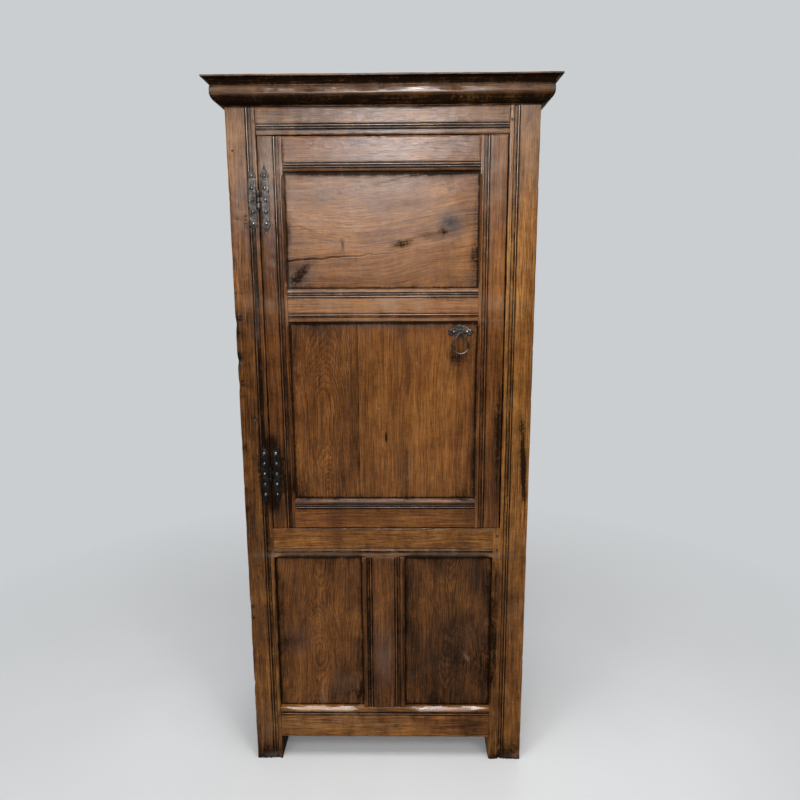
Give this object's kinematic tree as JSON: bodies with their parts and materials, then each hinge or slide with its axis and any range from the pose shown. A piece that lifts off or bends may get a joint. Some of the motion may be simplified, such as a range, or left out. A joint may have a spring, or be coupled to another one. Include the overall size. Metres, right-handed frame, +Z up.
{
  "type": "food cupboard",
  "caption": "Tall joined oak food cupboard with a moulded cornice, a panelled door on iron hinges with a ring pull, fixed panels below and shelves inside.",
  "frame": {"origin": "on the floor, under the middle of the whole object", "axes": "+Z up, +X to the right seen from the front, +Y from the front to the back"},
  "size_m": [0.846, 0.473, 1.843],
  "materials": {
    "oak_carcass": "waxed, golden brown, dark in the mouldings",
    "oak_door": "waxed, red brown, dark in the mouldings",
    "oak_panel": "waxed, dark at the edges",
    "oak_cornice": "waxed, dark, worn pale on the nose",
    "oak_inside": "bare, dry",
    "iron": "forged, blackened"
  },
  "bodies": {
    "carcass": {"back_board_left": "oak_inside", "back_board_middle": "oak_inside", "back_board_right": "oak_inside", "back_bottom_rail": "oak_inside", "back_left_post": "oak_carcass", "back_right_post": "oak_carcass", "back_top_rail": "oak_inside", "bottom_board": "oak_inside", "bottom_rail": "oak_carcass", "carcass_nails": "iron", "carcass_pegs": "oak_carcass", "cornice_front": "oak_cornice", "cornice_left": "oak_cornice", "cornice_right": "oak_cornice", "door_stop": "oak_inside", "frieze_rail": "oak_carcass", "front_left_post": "oak_carcass", "front_right_post": "oak_carcass", "hinge_frame_nails": "iron", "left_side_bottom_rail": "oak_carcass", "left_side_lower_panel": "oak_panel", "left_side_middle_rail": "oak_carcass", "left_side_top_rail": "oak_carcass", "left_side_upper_panel": "oak_panel", "lower_hinge_frame_leaf": "iron", "lower_hinge_pin": "iron", "lower_left_cleat": "oak_inside", "lower_left_panel": "oak_panel", "lower_muntin": "oak_carcass", "lower_right_cleat": "oak_inside", "lower_right_panel": "oak_panel", "lower_shelf": "oak_inside", "right_side_bottom_rail": "oak_carcass", "right_side_lower_panel": "oak_panel", "right_side_middle_rail": "oak_carcass", "right_side_top_rail": "oak_carcass", "right_side_upper_panel": "oak_panel", "sill_rail": "oak_carcass", "top_board": "oak_inside", "upper_hinge_frame_leaf": "iron", "upper_hinge_pin": "iron", "upper_left_cleat": "oak_inside", "upper_right_cleat": "oak_inside", "upper_shelf": "oak_inside"},
    "door": {"door_bottom_rail": "oak_door", "door_free_stile": "oak_door", "door_hinge_stile": "oak_door", "door_lower_panel_left": "oak_panel", "door_lower_panel_right": "oak_panel", "door_middle_rail": "oak_door", "door_nails": "iron", "door_pegs": "oak_door", "door_top_panel": "oak_panel", "door_top_rail": "oak_door", "upper_hinge_door_leaf": "iron", "lower_hinge_door_leaf": "iron", "pull_plate": "iron", "pull_eye": "iron"},
    "pull": {"pull_bail": "iron"}
  },
  "joints": [
    {"name": "door_swing", "type": "hinge", "parent": "carcass", "child": "door", "pos_m": [-0.3062, -0.1988, 1.215], "axis": [0, 0, -1], "range_deg": [0, 165]},
    {"name": "pull_swing", "type": "hinge", "parent": "door", "child": "pull", "pos_m": [0.1945, -0.1906, 1.236], "axis": [-1, 0, 0], "range_deg": [-3, 150]}
  ]
}
